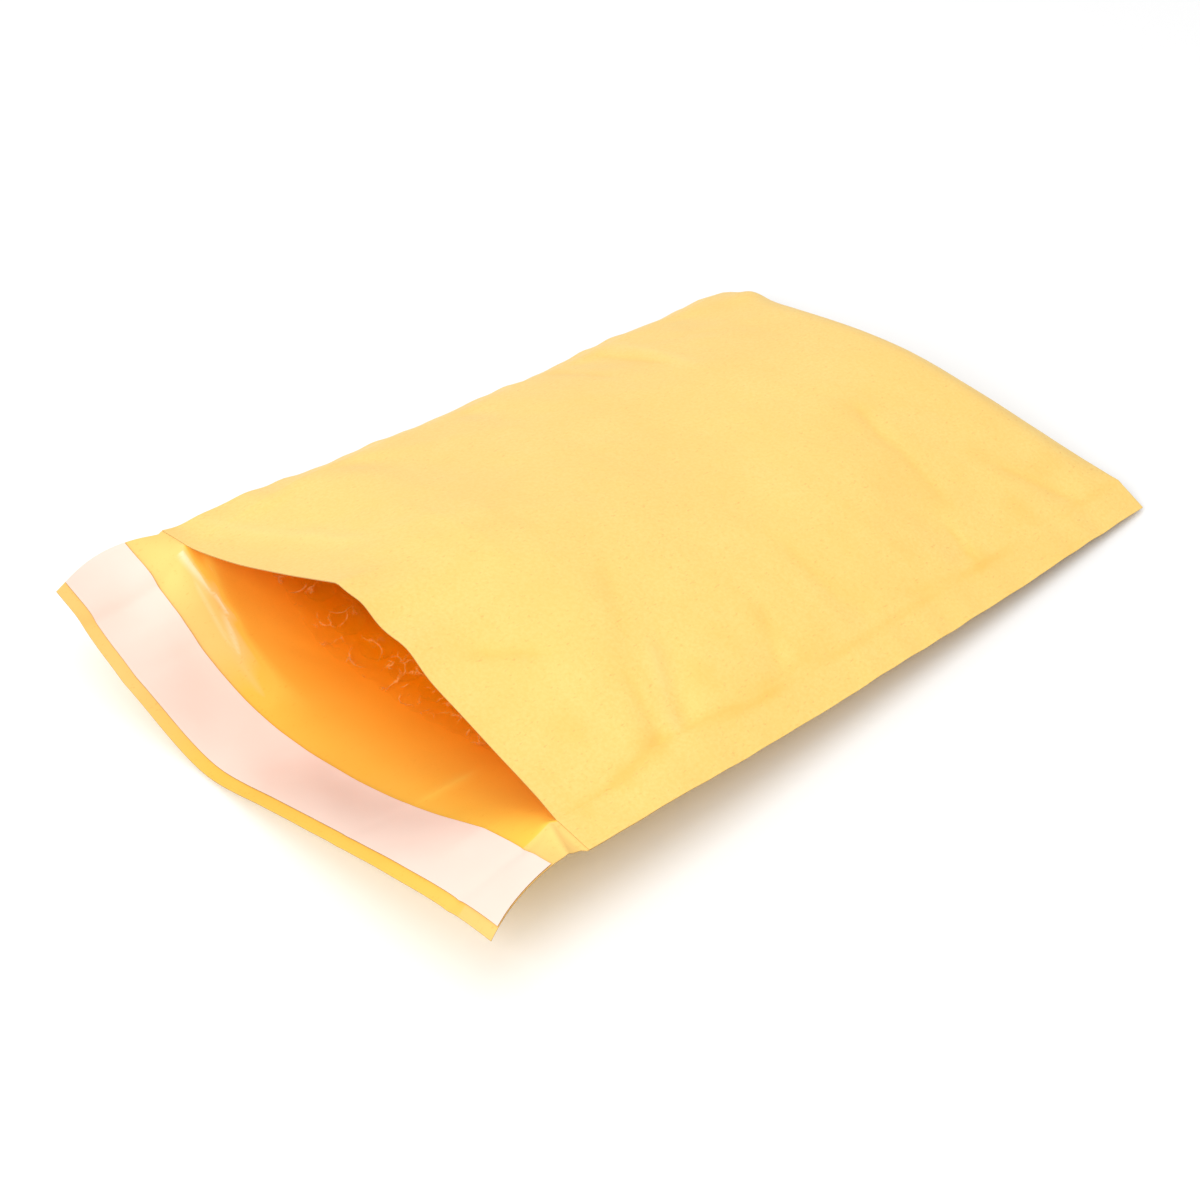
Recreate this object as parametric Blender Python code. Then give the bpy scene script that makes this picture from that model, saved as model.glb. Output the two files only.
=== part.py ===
# Padded paper mailer lying on its back panel, mouth open and flap laid flat.
# Metres, +Z up. The closed end is at +X, the mouth and the flap are at -X, the near side is -Y.
import math

import bmesh
import bpy
import numpy as np

# Flat envelope
POCKET_WIDTH = 0.150
POCKET_LENGTH = 0.200
FLAP_LENGTH = 0.030
SEAM_WIDTH = 0.0095
PAPER_THICKNESS = 0.0004

# Bubble lining
BUBBLE_HEIGHT = 0.003
LINING_CLEARANCE = 0.0005
LINING_RECESS = 0.018
LINING_END_CLEARANCE = 0.0025
LINING_EDGE_THICKNESS = 0.0010
LINING_SLOT = 0.0004

# Release liner and the adhesive under it, along the flap
LINER_START = 0.0090
LINER_WIDTH = 0.0178
LINER_THICKNESS = 0.0002
LINER_SIDE_INSET = 0.0004
ADHESIVE_MARGIN = 0.0030
ADHESIVE_THICKNESS = 0.0002
ADHESIVE_SIDE_INSET = 0.0040
GLUE_CLEARANCE = 0.0001

# Height of the side seams' outer edges
END_LIFT = 0.0014
NEAR_LIFT = 0.0196
FAR_LIFT = 0.0238
NEAR_SAG = 0.20
FAR_SAG = 0.45
MOUTH_DRAW_IN = 0.0034
NEAR_DROOP = math.radians(28)
FAR_DROOP = math.radians(35)
NEAR_MOUTH_DROOP = math.radians(11)
FAR_MOUTH_DROOP = math.radians(4)

# Swell of the front panel
END_CROWN = 0.0017
END_SWELL = 0.0115
BODY_SWELL = 0.0130
MOUTH_SWELL = 0.0181
END_RADIUS = 0.010
SHOULDER_LENGTH = 0.040
MOUTH_PEAK = 0.14

# Ripples of the front panel's lip: share across, height, half width in shares
LIP_RIPPLES = (
    (0.005, 0.0011, 0.065),
    (-0.235, 0.0016, 0.085),
)
LIP_RIPPLE_REACH = 0.022

# Dish of the back panel
BACK_END_RADIUS = 0.008
FLAT_SHARE = 0.50
MOUTH_LOW_POINT = 0.19
FLAP_LOW_POINT = 0.28
FLAP_NEAR_LIFT = 0.0183
FLAP_FAR_LIFT = 0.0219
FLAP_SIDE_STEP = 0.0010
FLAP_NEAR_SPREAD = 0.0040
FLAP_NEAR_PINCH = 0.0008
FLAP_FAR_SPREAD = 0.0010
FLAP_FAR_BULGE = 0.0042
FLAP_FAR_RISE = 0.0004
FLAP_NEAR_RISE = 0.0013
FLAP_DISH_SHARE = 0.72

# Gathers along the side seams: distance from the closed end, depth, half width, reach inward, lean
NEAR_PUCKERS = (
    (0.1620, 0.0017, 0.0052, 0.030, 0.60),
    (0.0980, 0.0010, 0.0040, 0.020, 0.00),
    (0.0620, 0.0013, 0.0036, 0.045, 0.25),
    (0.1290, 0.0009, 0.0042, 0.010, 0.10),
    (0.0180, 0.0014, 0.0050, 0.011, 0.10),
)
FAR_PUCKERS = (
    (0.1500, 0.0011, 0.0052, 0.022, 0.30),
    (0.1080, 0.0010, 0.0048, 0.026, 0.10),
    (0.0660, 0.0010, 0.0046, 0.020, 0.20),
    (0.0260, 0.0009, 0.0050, 0.014, 0.00),
)
PUCKER_START = 0.006

# Grid
END_STATIONS = (0.0004, 0.0015, 0.0035, 0.0065, 0.0100, 0.0150)
BODY_CELLS = 22
LIP_CELLS = 3
PANEL_CELLS = 24
SEAM_CELLS = 2
LINING_CELLS = 16


def mix(a, b, t):
    return a + (b - a) * t


def smooth(q):
    q = np.clip(q, 0.0, 1.0)
    return q * q * (3.0 - 2.0 * q)


def quarter_round(q):
    q = np.clip(q, 0.0, 1.0)
    return np.sqrt(1.0 - (1.0 - q) ** 2)


def seam_climb(k, sag):
    return k - sag * k * (1.0 - k)


def seam_edge(s, far):
    """Outer edge of a side seam: distance from the centre line, and height."""
    k = s / POCKET_LENGTH
    lift, sag = (FAR_LIFT, FAR_SAG) if far else (NEAR_LIFT, NEAR_SAG)
    half = POCKET_WIDTH / 2 - MOUTH_DRAW_IN * k ** 2
    height = mix(END_LIFT, lift, seam_climb(k, sag))
    return half, height


def seam_line(s, far):
    """Inner edge of a side seam, where the two panels part."""
    half, height = seam_edge(s, far)
    body_droop, mouth_droop = (FAR_DROOP, FAR_MOUTH_DROOP) if far else (NEAR_DROOP, NEAR_MOUTH_DROOP)
    droop = mix(body_droop, mouth_droop, smooth((s / POCKET_LENGTH - 0.75) / 0.25))
    return half - SEAM_WIDTH * np.cos(droop), height + SEAM_WIDTH * np.sin(droop)


def across(s, u):
    """Y of the share u of the pocket's width, -1 at the near seam line and +1 at the far one."""
    near, _ = seam_line(s, False)
    far, _ = seam_line(s, True)
    return mix(-near, far, (u + 1) / 2)


def seam_level(s, u):
    _, near = seam_line(s, False)
    _, far = seam_line(s, True)
    return mix(near, far, (u + 1) / 2)


def fold_height(s, u):
    """Height of the closed end's fold line."""
    return seam_level(s, u) + END_CROWN * (1 - u ** 2)


def puckers(s, u):
    """Depth of the gathers that run in from the side seams."""
    total = np.zeros_like(s + u)
    y = across(s, u)
    for rows, far in ((NEAR_PUCKERS, False), (FAR_PUCKERS, True)):
        line, _ = seam_line(s, far)
        inward = line - y if far else y + line
        for station, depth, half_width, reach, lean in rows:
            drift = (s - station + lean * inward) / (half_width + 0.15 * inward)
            fade = np.exp(-(inward / reach) ** 2) * smooth(inward / PUCKER_START)
            total = total + depth * np.exp(-drift ** 2) * fade
    return total


def lip_ripples(s, u):
    """Height of the waves that the bubbles leave in the front panel's lip."""
    fade = np.exp(-((POCKET_LENGTH - s) / LIP_RIPPLE_REACH) ** 2)
    return fade * sum(rise * np.exp(-((u - place) / width) ** 2) for place, rise, width in LIP_RIPPLES)


def mouth_arch(u):
    """Front panel's shape across the mouth, 1 at its peak."""
    near = np.clip((MOUTH_PEAK - u) / (1 + MOUTH_PEAK), 0, 1)
    far = np.clip((u - MOUTH_PEAK) / (1 - MOUTH_PEAK), 0, 1)
    return np.where(u < MOUTH_PEAK, 1 - near ** 1.2, (1 - far) ** 1.25)


def top_height(s, u):
    """Height of the front panel's inner face."""
    k = s / POCKET_LENGTH
    fold = fold_height(s, u)
    power = mix(1.6, 2.2, smooth(k / 0.4))
    pillow = 1 - np.abs(u) ** power
    toward_mouth = smooth((k - 0.45) / 0.55)
    shape = mix(pillow, mouth_arch(u), toward_mouth)
    swell = mix(BODY_SWELL, MOUTH_SWELL, toward_mouth) - END_CROWN * (1 - k)
    end = END_SWELL / BODY_SWELL
    opening = mix(quarter_round(s / SHOULDER_LENGTH), quarter_round(s / END_RADIUS), end)
    height = fold - END_CROWN * (1 - u ** 2) * k + swell * shape * opening
    return height + lip_ripples(s, u) - puckers(s, u) * opening


def dish(k, u):
    """Back panel's climb from its low line to the seam lines, 0 to 1."""
    low = MOUTH_LOW_POINT * smooth(k)
    flat = FLAT_SHARE * (1 - smooth((k - 0.50) / 0.45))
    near_power = mix(2.6, 1.75, smooth((k - 0.5) / 0.5))
    far_power = mix(2.6, 2.3, smooth((k - 0.5) / 0.5))
    near = np.clip((low - u) / (1 + low), 0, 1)
    far = np.clip((u - low) / (1 - low), 0, 1)
    near = np.clip((near - flat) / (1 - flat), 0, 1)
    far = np.clip((far - flat) / (1 - flat), 0, 1)
    return np.where(u < low, near ** near_power, far ** far_power)


def bottom_height(s, u):
    """Height of the back panel's inner face."""
    k = s / POCKET_LENGTH
    floor = PAPER_THICKNESS
    rest = floor + (seam_level(s, u) - floor) * dish(k, u)
    return mix(fold_height(s, u), rest, quarter_round(s / BACK_END_RADIUS))


def foreshorten(s, height):
    """How far a rising panel draws back from its flat length."""
    k = s / POCKET_LENGTH
    return 0.55 * k ** 2 * (height - END_LIFT) ** 2 / POCKET_LENGTH


def panel_point(s, u, height):
    """Points of a panel between the seam lines."""
    mouth = top_height(POCKET_LENGTH, u) if height is top_height else bottom_height(POCKET_LENGTH, u)
    z = height(s, u)
    x = -s + foreshorten(s, mouth)
    return np.stack([x + 0 * z, across(s, u) + 0 * z, z], -1)


def seam_point(s, share, far):
    """Points of a side seam, share 0 at its outer edge and 1 at the seam line."""
    half, height = seam_edge(s, far)
    line, level = seam_line(s, far)
    sign = 1 if far else -1
    mouth = seam_level(POCKET_LENGTH, sign)
    x = -s + foreshorten(s, mouth)
    y = sign * mix(half, line, share)
    z = mix(height, level, share)
    return np.stack([x + 0 * z, y + 0 * z, z], -1)


def flap_edge_height(v):
    """Height of the flap's outer edge, v from -1 at the near tip to +1 at the far tip."""
    near = np.clip((FLAP_LOW_POINT - v) / (1 + FLAP_LOW_POINT), 0, 1)
    far = np.clip((v - FLAP_LOW_POINT) / (1 - FLAP_LOW_POINT), 0, 1)
    near_side = FLAP_NEAR_LIFT * (1 - (1 - near ** 1.25) ** 1.9)
    far_side = FLAP_FAR_LIFT * far ** 1.05
    return PAPER_THICKNESS + np.where(v < FLAP_LOW_POINT, near_side, far_side)


def pressed_out(height, v):
    """Heights of the back panel's mouth row without the droop of its seams, which the flap soon loses."""
    out = height
    for sign, edge, rise in ((-1, height[0], FLAP_NEAR_RISE), (1, height[-1], FLAP_FAR_RISE)):
        start = np.interp(sign * FLAP_DISH_SHARE, v, height)
        q = (sign * v - FLAP_DISH_SHARE) / (1 - FLAP_DISH_SHARE)
        out = np.where(q > 0, mix(start, edge + rise, q), out)
    return out


def flap_rows(mouth_row, distances):
    """Upper face of the flap: the back panel's mouth row carried out to the flap's edge."""
    rows = []
    half_near = -mouth_row[0, 1]
    half_far = mouth_row[-1, 1]
    v = np.where(mouth_row[:, 1] < 0, mouth_row[:, 1] / half_near, mouth_row[:, 1] / half_far)
    tip_height = flap_edge_height(v)
    flat_height = pressed_out(mouth_row[:, 2], v)
    for distance in distances:
        f = distance / FLAP_LENGTH
        wave = math.sin(math.pi * f)
        step = FLAP_SIDE_STEP * smooth(f / 0.05)
        near_spread = FLAP_NEAR_SPREAD * f ** 3 - FLAP_NEAR_PINCH * wave - step
        far_spread = FLAP_FAR_SPREAD * f + FLAP_FAR_BULGE * wave - step
        row = mouth_row.copy()
        row[:, 1] += v * np.where(v < 0, near_spread, far_spread)
        leaving = mix(mouth_row[:, 2], flat_height, smooth(f / 0.3))
        row[:, 2] = mix(leaving, tip_height, smooth((f - 0.12) / 0.88))
        row[:, 0] = mouth_row[:, 0] - distance
        rows.append(row)
    return np.array(rows)


def stations():
    """Distances from the closed end at which the pocket has a row of points."""
    ends = np.array((0.0,) + END_STATIONS)
    lip = POCKET_LENGTH - LINING_RECESS
    body = np.linspace(ends[-1], lip, BODY_CELLS + 1)[1:]
    mouth = np.linspace(lip, POCKET_LENGTH, LIP_CELLS + 1)[1:]
    return np.concatenate([ends, body, mouth])


def flap_distances():
    """Distances from the mouth at which the flap has a row of points."""
    liner_end = LINER_START + LINER_WIDTH
    adhesive_start = LINER_START + ADHESIVE_MARGIN
    adhesive_end = liner_end - ADHESIVE_MARGIN
    middle = (adhesive_start + adhesive_end) / 2
    crease = min(0.0016, LINER_START / 4)
    before = [crease, LINER_START / 2, LINER_START]
    return before + [adhesive_start, middle, adhesive_end, liner_end, FLAP_LENGTH]


def panel_shares():
    """Shares across the pocket, closer together at the seams and at the mouth's peak."""
    even = np.linspace(-1, 1, PANEL_CELLS + 1)
    eased = mix(even, np.sin(even * math.pi / 2), 0.45)
    return eased + MOUTH_PEAK * (1 - eased ** 2)


def sheet(height, rows):
    """Points of one panel with its seams, one row per station."""
    shares = panel_shares()
    seam_shares = np.linspace(0, 1, SEAM_CELLS + 1)[:-1]
    out = []
    for s in rows:
        near = seam_point(s, seam_shares, False)
        far = seam_point(s, seam_shares[::-1], True)
        out.append(np.concatenate([near, panel_point(s, shares, height), far]))
    return np.array(out)


def normals(grid):
    """Unit normals of a grid of points, upward where the grid lies flat."""
    along = np.gradient(grid, axis=0)
    over = np.gradient(grid, axis=1)
    normal = np.cross(over, along)
    return normal / np.linalg.norm(normal, axis=-1, keepdims=True)


class Shell:
    """Vertices and faces of one closed body."""

    def __init__(self):
        self.points = []
        self.faces = []

    def add(self, points):
        flat = np.asarray(points).reshape(-1, 3)
        start = len(self.points)
        self.points.extend(map(tuple, flat))
        return np.arange(start, start + len(flat)).reshape(np.asarray(points).shape[:-1])

    def face(self, *corners):
        ring = [int(c) for c in corners]
        ring = [c for n, c in enumerate(ring) if c != ring[n - 1]]
        if len(ring) > 2:
            self.faces.append(ring)

    def grid(self, ids, up, split_corners=False):
        rows, columns = ids.shape
        for i in range(rows - 1):
            for j in range(columns - 1):
                quad = [ids[i, j], ids[i, j + 1], ids[i + 1, j + 1], ids[i + 1, j]]
                parts = [quad]
                if split_corners and i == 0 and j == 0:
                    parts = [quad[:3], [quad[0], quad[2], quad[3]]]
                if split_corners and i == 0 and j == columns - 2:
                    parts = [[quad[0], quad[1], quad[3]], quad[1:]]
                for ring in parts:
                    self.face(*(ring if up else ring[::-1]))

    def build(self, name, offset, material):
        mesh = bpy.data.meshes.new(name)
        shifted = [(x + offset[0], y + offset[1], z + offset[2]) for x, y, z in self.points]
        mesh.from_pydata(shifted, [], self.faces)
        work = bmesh.new()
        work.from_mesh(mesh)
        bmesh.ops.triangulate(work, faces=work.faces[:], quad_method="SHORT_EDGE")
        work.to_mesh(mesh)
        work.free()
        mesh.materials.append(material)
        item = bpy.data.objects.new(name, mesh)
        bpy.context.scene.collection.objects.link(item)
        return item


def paper_shell():
    """Envelope: front and back panels, side seams and flap as one folded sheet."""
    rows = stations()
    front = sheet(top_height, rows)
    back = sheet(bottom_height, rows)
    flap = flap_rows(back[-1], flap_distances())
    whole_back = np.concatenate([back, flap])
    front_outer = front + PAPER_THICKNESS * normals(front)
    back_outer = whole_back - PAPER_THICKNESS * normals(whole_back)
    end_row = front[0] + np.array([PAPER_THICKNESS, 0, 0])

    shell = Shell()
    last = len(rows) - 1
    first_col = SEAM_CELLS
    last_col = SEAM_CELLS + PANEL_CELLS
    end_ids = shell.add(end_row)
    top = np.vstack([end_ids, shell.add(front_outer[1:])])
    under = np.vstack([end_ids, shell.add(back_outer[1:])])
    inner_back = shell.add(whole_back[:, first_col:last_col + 1])
    inner_front = inner_back[:last + 1].copy()
    inner_front[1:, 1:-1] = shell.add(front[1:, first_col + 1:last_col])

    # The flap's upper face also covers the seams, beyond the mouth
    left = shell.add(whole_back[last:, :first_col])
    right = shell.add(whole_back[last:, last_col + 1:])
    flap_top = np.hstack([left, inner_back[last:], right])

    shell.grid(top, True)
    shell.grid(under, False)
    shell.grid(inner_front, False, split_corners=True)
    shell.grid(inner_back[:last + 1], True, split_corners=True)
    shell.grid(flap_top, True)

    # Mouth edge of the front panel, and the flap's outer edge
    mouth_low = np.hstack([left[0], inner_front[last], right[0]])
    for j in range(len(mouth_low) - 1):
        shell.face(top[last, j], top[last, j + 1], mouth_low[j + 1], mouth_low[j])
        shell.face(flap_top[-1, j], flap_top[-1, j + 1], under[-1, j + 1], under[-1, j])

    # Side edges
    for col, near in ((0, True), (-1, False)):
        for i in range(last):
            ring = [top[i, col], top[i + 1, col], under[i + 1, col], under[i, col]]
            if i == last - 1:
                ring.insert(2, flap_top[0, col])
            shell.face(*(ring if near else ring[::-1]))
        for i in range(len(flap_top) - 1):
            ring = [flap_top[i, col], flap_top[i + 1, col], under[last + i + 1, col], under[last + i, col]]
            shell.face(*(ring if near else ring[::-1]))
    return shell, whole_back[last:]


def parting(s, gap, sign):
    """Share across the pocket at which the two panels are a given gap apart."""
    inside, outside = 0.0, 1.0
    for _ in range(40):
        middle = (inside + outside) / 2
        u = sign * middle
        if top_height(s, u) - bottom_height(s, u) > gap:
            inside = middle
        else:
            outside = middle
    return sign * inside


def lining_sheets(rows, inset, gap):
    """Upper and lower faces that lie a given distance inside the panels."""
    upper = []
    lower = []
    spread = np.linspace(-1, 1, LINING_CELLS + 1)
    spread = mix(spread, np.sin(spread * math.pi / 2), 0.6)
    for s in rows:
        near, far = parting(s, gap, -1), parting(s, gap, 1)
        u = np.where(spread < 0, mix(MOUTH_PEAK, near, -spread), mix(MOUTH_PEAK, far, spread))
        drop = np.array([0, 0, inset])
        upper.append(panel_point(s, u, top_height) - drop)
        lower.append(panel_point(s, u, bottom_height) + drop)
    return np.array(upper), np.array(lower)


def lining_shell():
    """Bubble film pocket, open at the mouth."""
    mouth = POCKET_LENGTH - LINING_RECESS
    inner_inset = LINING_CLEARANCE + BUBBLE_HEIGHT
    outer_gap = 2 * LINING_CLEARANCE + LINING_EDGE_THICKNESS
    inner_gap = 2 * inner_inset + LINING_SLOT
    rows = stations()
    outer_rows = rows[(rows > LINING_END_CLEARANCE) & (rows < mouth + 1e-6)]
    inner_rows = outer_rows[outer_rows > outer_rows[0] + BUBBLE_HEIGHT * 1.5]
    outer_top, outer_low = lining_sheets(outer_rows, LINING_CLEARANCE, outer_gap)
    inner_top, inner_low = lining_sheets(inner_rows, inner_inset, inner_gap)

    shell = Shell()
    ot, ol = shell.add(outer_top), shell.add(outer_low)
    it, il = shell.add(inner_top), shell.add(inner_low)
    shell.grid(ot, True)
    shell.grid(ol, False)
    shell.grid(it, False)
    shell.grid(il, True)
    columns = LINING_CELLS
    for j in range(columns):
        shell.face(ol[0, j], ol[0, j + 1], ot[0, j + 1], ot[0, j])
        shell.face(it[0, j], it[0, j + 1], il[0, j + 1], il[0, j])
        shell.face(ot[-1, j], ot[-1, j + 1], it[-1, j + 1], it[-1, j])
        shell.face(il[-1, j], il[-1, j + 1], ol[-1, j + 1], ol[-1, j])
    for i in range(len(outer_rows) - 1):
        shell.face(ot[i, 0], ot[i + 1, 0], ol[i + 1, 0], ol[i, 0])
        shell.face(ol[i, -1], ol[i + 1, -1], ot[i + 1, -1], ot[i, -1])
    for i in range(len(inner_rows) - 1):
        shell.face(il[i, 0], il[i + 1, 0], it[i + 1, 0], it[i, 0])
        shell.face(it[i, -1], it[i + 1, -1], il[i + 1, -1], il[i, -1])
    shell.face(ot[-1, 0], it[-1, 0], il[-1, 0], ol[-1, 0])
    shell.face(ol[-1, -1], il[-1, -1], it[-1, -1], ot[-1, -1])
    return shell


def trim_sides(rows, inset):
    """Rows of the flap's upper face cut short by an inset at each side."""
    out = []
    for row in rows:
        steps = np.linalg.norm(np.diff(row, axis=0), axis=1)
        run = np.concatenate([[0], np.cumsum(steps)])
        keep = (run > inset + 0.0003) & (run < run[-1] - inset - 0.0003)
        marks = np.concatenate([[inset], run[keep], [run[-1] - inset]])
        out.append(np.stack([np.interp(marks, run, row[:, c]) for c in range(3)], -1))
    return np.array(out)


def strip_shell(flap, start, end, inset, lift, thickness):
    """Flat strip stuck along the flap, between two of its rows."""
    up = normals(flap)
    low_rows = flap[start:end + 1] + lift * up[start:end + 1]
    high_rows = flap[start:end + 1] + (lift + thickness) * up[start:end + 1]
    low = trim_sides(low_rows, inset)
    high = trim_sides(high_rows, inset)
    shell = Shell()
    top, under = shell.add(high), shell.add(low)
    shell.grid(top, True)
    shell.grid(under, False)
    rows, columns = top.shape
    for j in range(columns - 1):
        shell.face(under[0, j], under[0, j + 1], top[0, j + 1], top[0, j])
        shell.face(top[-1, j], top[-1, j + 1], under[-1, j + 1], under[-1, j])
    for i in range(rows - 1):
        shell.face(top[i, 0], top[i + 1, 0], under[i + 1, 0], under[i, 0])
        shell.face(under[i, -1], under[i + 1, -1], top[i + 1, -1], top[i, -1])
    return shell


def material(name, colour, roughness):
    made = bpy.data.materials.new(name)
    made.use_nodes = True
    shader = made.node_tree.nodes["Principled BSDF"]
    shader.inputs["Base Color"].default_value = (*colour, 1)
    shader.inputs["Roughness"].default_value = roughness
    made.diffuse_color = (*colour, 1)
    return made


def main():
    for item in list(bpy.data.objects):
        bpy.data.objects.remove(item, do_unlink=True)

    paper, flap = paper_shell()
    lining = lining_shell()
    adhesive = strip_shell(flap, 4, 6, ADHESIVE_SIDE_INSET, GLUE_CLEARANCE, ADHESIVE_THICKNESS)
    liner_lift = 2 * GLUE_CLEARANCE + ADHESIVE_THICKNESS
    liner = strip_shell(flap, 3, 7, LINER_SIDE_INSET, liner_lift, LINER_THICKNESS)

    points = np.array(paper.points)
    low, high = points.min(axis=0), points.max(axis=0)
    offset = (-(low[0] + high[0]) / 2, -(low[1] + high[1]) / 2, -low[2])
    paper.build("outer_paper_envelope", offset, material("kraft_paper", (0.93, 0.66, 0.24), 0.75))
    lining.build("bubble_lining", offset, material("bubble_film", (0.90, 0.72, 0.42), 0.25))
    adhesive.build("adhesive_strip", offset, material("hot_melt", (0.93, 0.86, 0.66), 0.35))
    liner.build("release_liner", offset, material("liner_paper", (0.96, 0.80, 0.70), 0.45))


main()
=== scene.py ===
# Looks of a padded kraft paper mailer that lies open on its back panel.
# Metres, +Z up. The closed end is at +X, the mouth and the flap are at -X, the near side is -Y.
# Along the sheet, s is the distance from the closed end and u is the share across, -1 to 1.
import math

import bpy
import numpy as np
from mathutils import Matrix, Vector


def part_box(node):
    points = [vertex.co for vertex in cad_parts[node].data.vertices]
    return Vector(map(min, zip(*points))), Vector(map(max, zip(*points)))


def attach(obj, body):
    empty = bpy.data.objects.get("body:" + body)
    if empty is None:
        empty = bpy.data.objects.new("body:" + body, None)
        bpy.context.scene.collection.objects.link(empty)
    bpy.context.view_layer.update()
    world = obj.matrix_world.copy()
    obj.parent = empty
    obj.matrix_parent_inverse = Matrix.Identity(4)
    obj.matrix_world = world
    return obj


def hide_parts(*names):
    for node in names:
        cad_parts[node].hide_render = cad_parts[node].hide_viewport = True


# Flat envelope, as in the part's source
POCKET_WIDTH = 0.150
POCKET_LENGTH = 0.200
FLAP_LENGTH = 0.030
SEAM_WIDTH = 0.0095
PAPER_THICKNESS = 0.0004
LINING_RECESS = 0.018

# Release liner and adhesive, with the liner's inset, the lifts and the thickness smaller than the solids'
LINER_START = 0.0090
LINER_WIDTH = 0.0178
LINER_END = LINER_START + LINER_WIDTH
LINER_SIDE_INSET = 0.0001
ADHESIVE_MARGIN = 0.0030
ADHESIVE_SIDE_INSET = 0.0040
ADHESIVE_LIFT = 0.00002
LINER_LIFT = 0.00022
STRIP_THICKNESS = 0.00016

# Height of the side seams' outer edges
END_LIFT = 0.0014
NEAR_LIFT = 0.0196
FAR_LIFT = 0.0238
NEAR_SAG = 0.20
FAR_SAG = 0.45
MOUTH_DRAW_IN = 0.0034
NEAR_DROOP = math.radians(28)
FAR_DROOP = math.radians(35)
NEAR_MOUTH_DROOP = math.radians(11)
FAR_MOUTH_DROOP = math.radians(4)

# Swell of the front panel
END_CROWN = 0.0017
END_SWELL = 0.0115
BODY_SWELL = 0.0130
MOUTH_SWELL = 0.0181
END_RADIUS = 0.010
SHOULDER_LENGTH = 0.040
MOUTH_PEAK = 0.14
ARCH_SOFTENING = 0.022

# Ripples of the front panel's lip: share across, height, half width in shares
LIP_RIPPLES = (
    (0.005, 0.0011, 0.065),
    (-0.235, 0.0016, 0.085),
)
LIP_RIPPLE_REACH = 0.022

# Dish of the back panel and of the flap
BACK_END_RADIUS = 0.008
FLAT_SHARE = 0.50
MOUTH_LOW_POINT = 0.19
FLAP_LOW_POINT = 0.28
FLAP_NEAR_LIFT = 0.0183
FLAP_FAR_LIFT = 0.0219
FLAP_SIDE_STEP = 0.0010
FLAP_NEAR_SPREAD = 0.0040
FLAP_NEAR_PINCH = 0.0008
FLAP_FAR_SPREAD = 0.0010
FLAP_FAR_BULGE = 0.0042
FLAP_FAR_RISE = 0.0004
FLAP_NEAR_RISE = 0.0013
FLAP_DISH_SHARE = 0.72

# Gathers along the side seams: distance from the closed end, depth, half width, reach inward, lean
NEAR_PUCKERS = (
    (0.1620, 0.0012, 0.0048, 0.028, 0.60),
    (0.0980, 0.0005, 0.0040, 0.018, 0.00),
    (0.0620, 0.0005, 0.0036, 0.030, 0.25),
    (0.1290, 0.0005, 0.0042, 0.010, 0.10),
    (0.0180, 0.0007, 0.0050, 0.011, 0.10),
)
FAR_PUCKERS = (
    (0.1500, 0.0011, 0.0052, 0.022, 0.30),
    (0.1080, 0.0010, 0.0048, 0.026, 0.10),
    (0.0660, 0.0010, 0.0046, 0.020, 0.20),
    (0.0260, 0.0009, 0.0050, 0.014, 0.00),
)
PUCKER_START = 0.006

# Pressed line along the side seams' inner edges, and the closed end's softened far corner
SEAM_GROOVE = 0.00017
CORNER_REACH = 0.0046
CORNER_CUT = 0.0054
CORNER_SAG = 0.0018
CORNER_SAG_START = 0.0600
CORNER_SAG_LENGTH = 0.0095
CORNER_RISE = 0.0011
CORNER_RISE_PLACE = 0.0575
CORNER_RISE_WIDTH = 0.0050
CORNER_LENGTH = 0.014

# Paper as it looks: its skin at an open edge, and the fade of its relief beside seams and folds
SKIN = 0.00021
SKIN_GROUND_REACH = 0.0020
RELIEF_FADE = 0.0060
MOUTH_EASE = 0.0045
MOUTH_EASE_REACH = 0.0100

# Waves of the sheets: height and pitch, broad then fine. Of a seam's waves, only the heights.
PANEL_WAVES = ((0.00022, 0.062), (0.00007, 0.021))
FLAP_WAVES = ((0.00015, 0.040), (0.00006, 0.015))
FRILL_WAVES = ((0.00012, 0.0046), (0.00005, 0.0024))
FILM_EDGE_WAVES = ((0.0011, 0.024), (0.0004, 0.006))
NEAR_SEAM_WAVES = (0.00026, 0.00010)
FAR_SEAM_WAVES = (0.00045, 0.00022)
SEAM_WAVE_PITCH = 0.034

# Bubble film
BUBBLE_PITCH = 0.0110
BUBBLE_RADIUS = 0.0046
BUBBLE_HEIGHT = 0.0026
FILM_STANDOFF = 0.0033
FILM_EDGE_STANDOFF = 0.0009
FILM_SIDE_GAP = 0.0012
FILM_END = 0.0060
FRILL_WIDTH = 0.0130
FILM_REACH = 0.0022
FILM_FRONT = POCKET_LENGTH - LINING_RECESS + FILM_REACH
FRILL_START = FILM_FRONT - FRILL_WIDTH
FILM_COLUMNS = 210
ROW_STEP = BUBBLE_PITCH * math.sqrt(3) / 2
FRONT_ROW = FILM_FRONT - FRILL_WIDTH * 0.6
RIM_HEIGHT = 0.00017
PRINT_HEIGHT = 0.00009

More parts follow.
